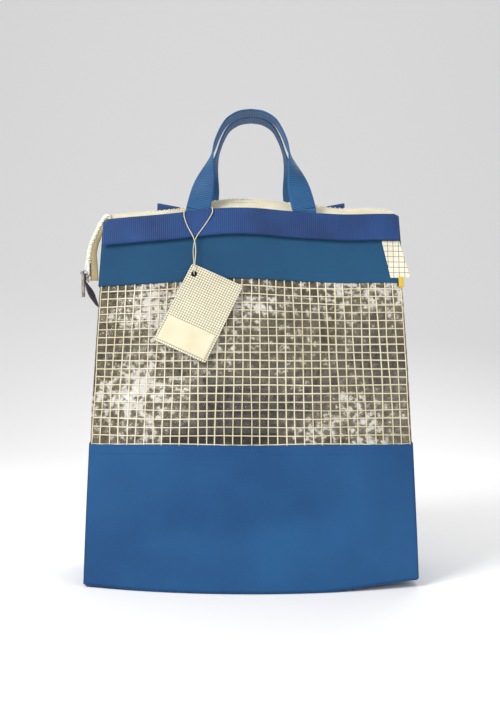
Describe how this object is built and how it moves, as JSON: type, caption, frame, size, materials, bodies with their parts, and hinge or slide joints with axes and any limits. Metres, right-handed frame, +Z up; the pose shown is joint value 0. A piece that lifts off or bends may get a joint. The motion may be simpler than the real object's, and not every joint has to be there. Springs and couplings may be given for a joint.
{
  "type": "rope storage bag",
  "caption": "Soft zipped storage bag with blue fabric base and top band, clear gridded vinyl windows, webbing handles, carry strap, zip tail with pull, hang tag and label",
  "frame": {"origin": "on the underside of the base, midway between the side walls and between the front and back corners of the base", "axes": "+Z up towards the mouth and handles, +X to the right as seen from the front, the front with the hang tag faces -Y"},
  "size_m": [0.3311, 0.1685, 0.459],
  "materials": {
    "fabric_blue": "plain weave polyester, matt",
    "vinyl_grid": "clear smoky vinyl with a woven cream scrim, glossy and creased",
    "fabric_band": "plain weave polyester, matt",
    "webbing": "ribbed webbing, slight sheen",
    "binding_cream": "folded woven binding, matt",
    "zip_tape": "herringbone zip tape, matt",
    "zip_teeth": "moulded teeth, satin",
    "slider_white": "white enamel, satin",
    "tab_steel": "brushed, lightly worn",
    "leather_plum": "dark plum leather, waxy",
    "string_cream": "twisted cotton string, matt",
    "tag_card": "printed card, matt",
    "eyelet_dark": "moulded ring, dull",
    "label_cream": "woven label, matt"
  },
  "bodies": {
    "bag": {"base_panel": "fabric_blue", "front_lower_panel": "fabric_blue", "back_lower_panel": "fabric_blue", "left_lower_side": "fabric_blue", "right_lower_side": "fabric_blue", "front_window": "vinyl_grid", "back_window": "vinyl_grid", "left_window_side": "vinyl_grid", "right_window_side": "vinyl_grid", "front_band": "fabric_band", "back_band": "fabric_band", "left_band_side": "fabric_band", "right_band_side": "fabric_band", "front_webbing": "webbing", "back_webbing": "webbing", "front_left_binding": "binding_cream", "front_right_binding": "binding_cream", "back_left_binding": "binding_cream", "back_right_binding": "binding_cream", "base_binding": "binding_cream", "front_handle_ends": "webbing", "back_handle_ends": "webbing", "carry_strap_ends": "webbing", "tag_string_loop": "string_cream"},
    "front_handle": {"front_handle": "webbing"},
    "back_handle": {"back_handle": "webbing"},
    "carry_strap": {"carry_strap": "webbing"},
    "front_zip_half": {"front_zip_tape": "zip_tape", "front_zip_teeth": "zip_teeth"},
    "back_zip_half": {"back_zip_tape": "zip_tape", "back_zip_teeth": "zip_teeth"},
    "zip_tail": {"tail_front_tape": "zip_tape", "tail_back_tape": "zip_tape", "tail_front_teeth": "zip_teeth", "tail_back_teeth": "zip_teeth", "zip_end_stop": "zip_teeth"},
    "slider": {"zip_slider": "slider_white"},
    "pull_tab": {"pull_tab": "tab_steel"},
    "leather_pull": {"leather_pull": "leather_plum"},
    "tag_string": {"tag_string": "string_cream"},
    "hang_tag": {"hang_tag": "tag_card", "tag_eyelet": "eyelet_dark"},
    "side_label": {"side_label": "label_cream"}
  },
  "joints": [
    {"name": "front_handle_fold", "type": "hinge", "parent": "bag", "child": "front_handle", "pos_m": [0, 0.002, 0.3575], "axis": [-1, 0, 0], "range_deg": [-125, 0]},
    {"name": "back_handle_fold", "type": "hinge", "parent": "bag", "child": "back_handle", "pos_m": [0, 0.054, 0.3575], "axis": [-1, 0, 0], "range_deg": [0, 125]},
    {"name": "carry_strap_swing", "type": "hinge", "parent": "bag", "child": "carry_strap", "pos_m": [0, 0.06, 0.3575], "axis": [1, 0, 0], "range_deg": [0, 100]},
    {"name": "front_flap_lift", "type": "hinge", "parent": "bag", "child": "front_zip_half", "pos_m": [0, 0.0054, 0.3544], "axis": [1, 0, 0], "range_deg": [0, 40]},
    {"name": "back_flap_lift", "type": "hinge", "parent": "bag", "child": "back_zip_half", "pos_m": [0, 0.0506, 0.3544], "axis": [-1, 0, 0], "range_deg": [0, 40]},
    {"name": "zip_tail_swing", "type": "hinge", "parent": "bag", "child": "zip_tail", "pos_m": [-0.1475, 0.027, 0.36], "axis": [0, 1, 0], "range_deg": [0, 70]},
    {"name": "slider_slide", "type": "slide", "parent": "zip_tail", "child": "slider", "axis": [0.03, 0.02, 0.9994], "range_m": [0, 0.005]},
    {"name": "pull_tab_swing", "type": "hinge", "parent": "slider", "child": "pull_tab", "pos_m": [-0.16964, 0.01902, 0.29703], "axis": [-0.557, 0.8305, 0.0001], "range_deg": [0, 90]},
    {"name": "leather_pull_swing", "type": "hinge", "parent": "slider", "child": "leather_pull", "pos_m": [-0.16964, 0.01902, 0.29703], "axis": [-0.557, 0.8305, 0.0001], "range_deg": [0, 60]},
    {"name": "tag_string_swing", "type": "hinge", "parent": "bag", "child": "tag_string", "pos_m": [-0.053, -0.0013, 0.3553], "axis": [-1, 0, 0], "range_deg": [0, 60]},
    {"name": "hang_tag_swing", "type": "hinge", "parent": "tag_string", "child": "hang_tag", "pos_m": [-0.0555, -0.0129, 0.2925], "axis": [0, -0.9724, 0.2334], "range_deg": [-20, 20]},
    {"name": "side_label_lift", "type": "hinge", "parent": "bag", "child": "side_label", "pos_m": [0.138, -0.002, 0.3278], "axis": [-1, 0, 0], "range_deg": [0, 60]}
  ]
}
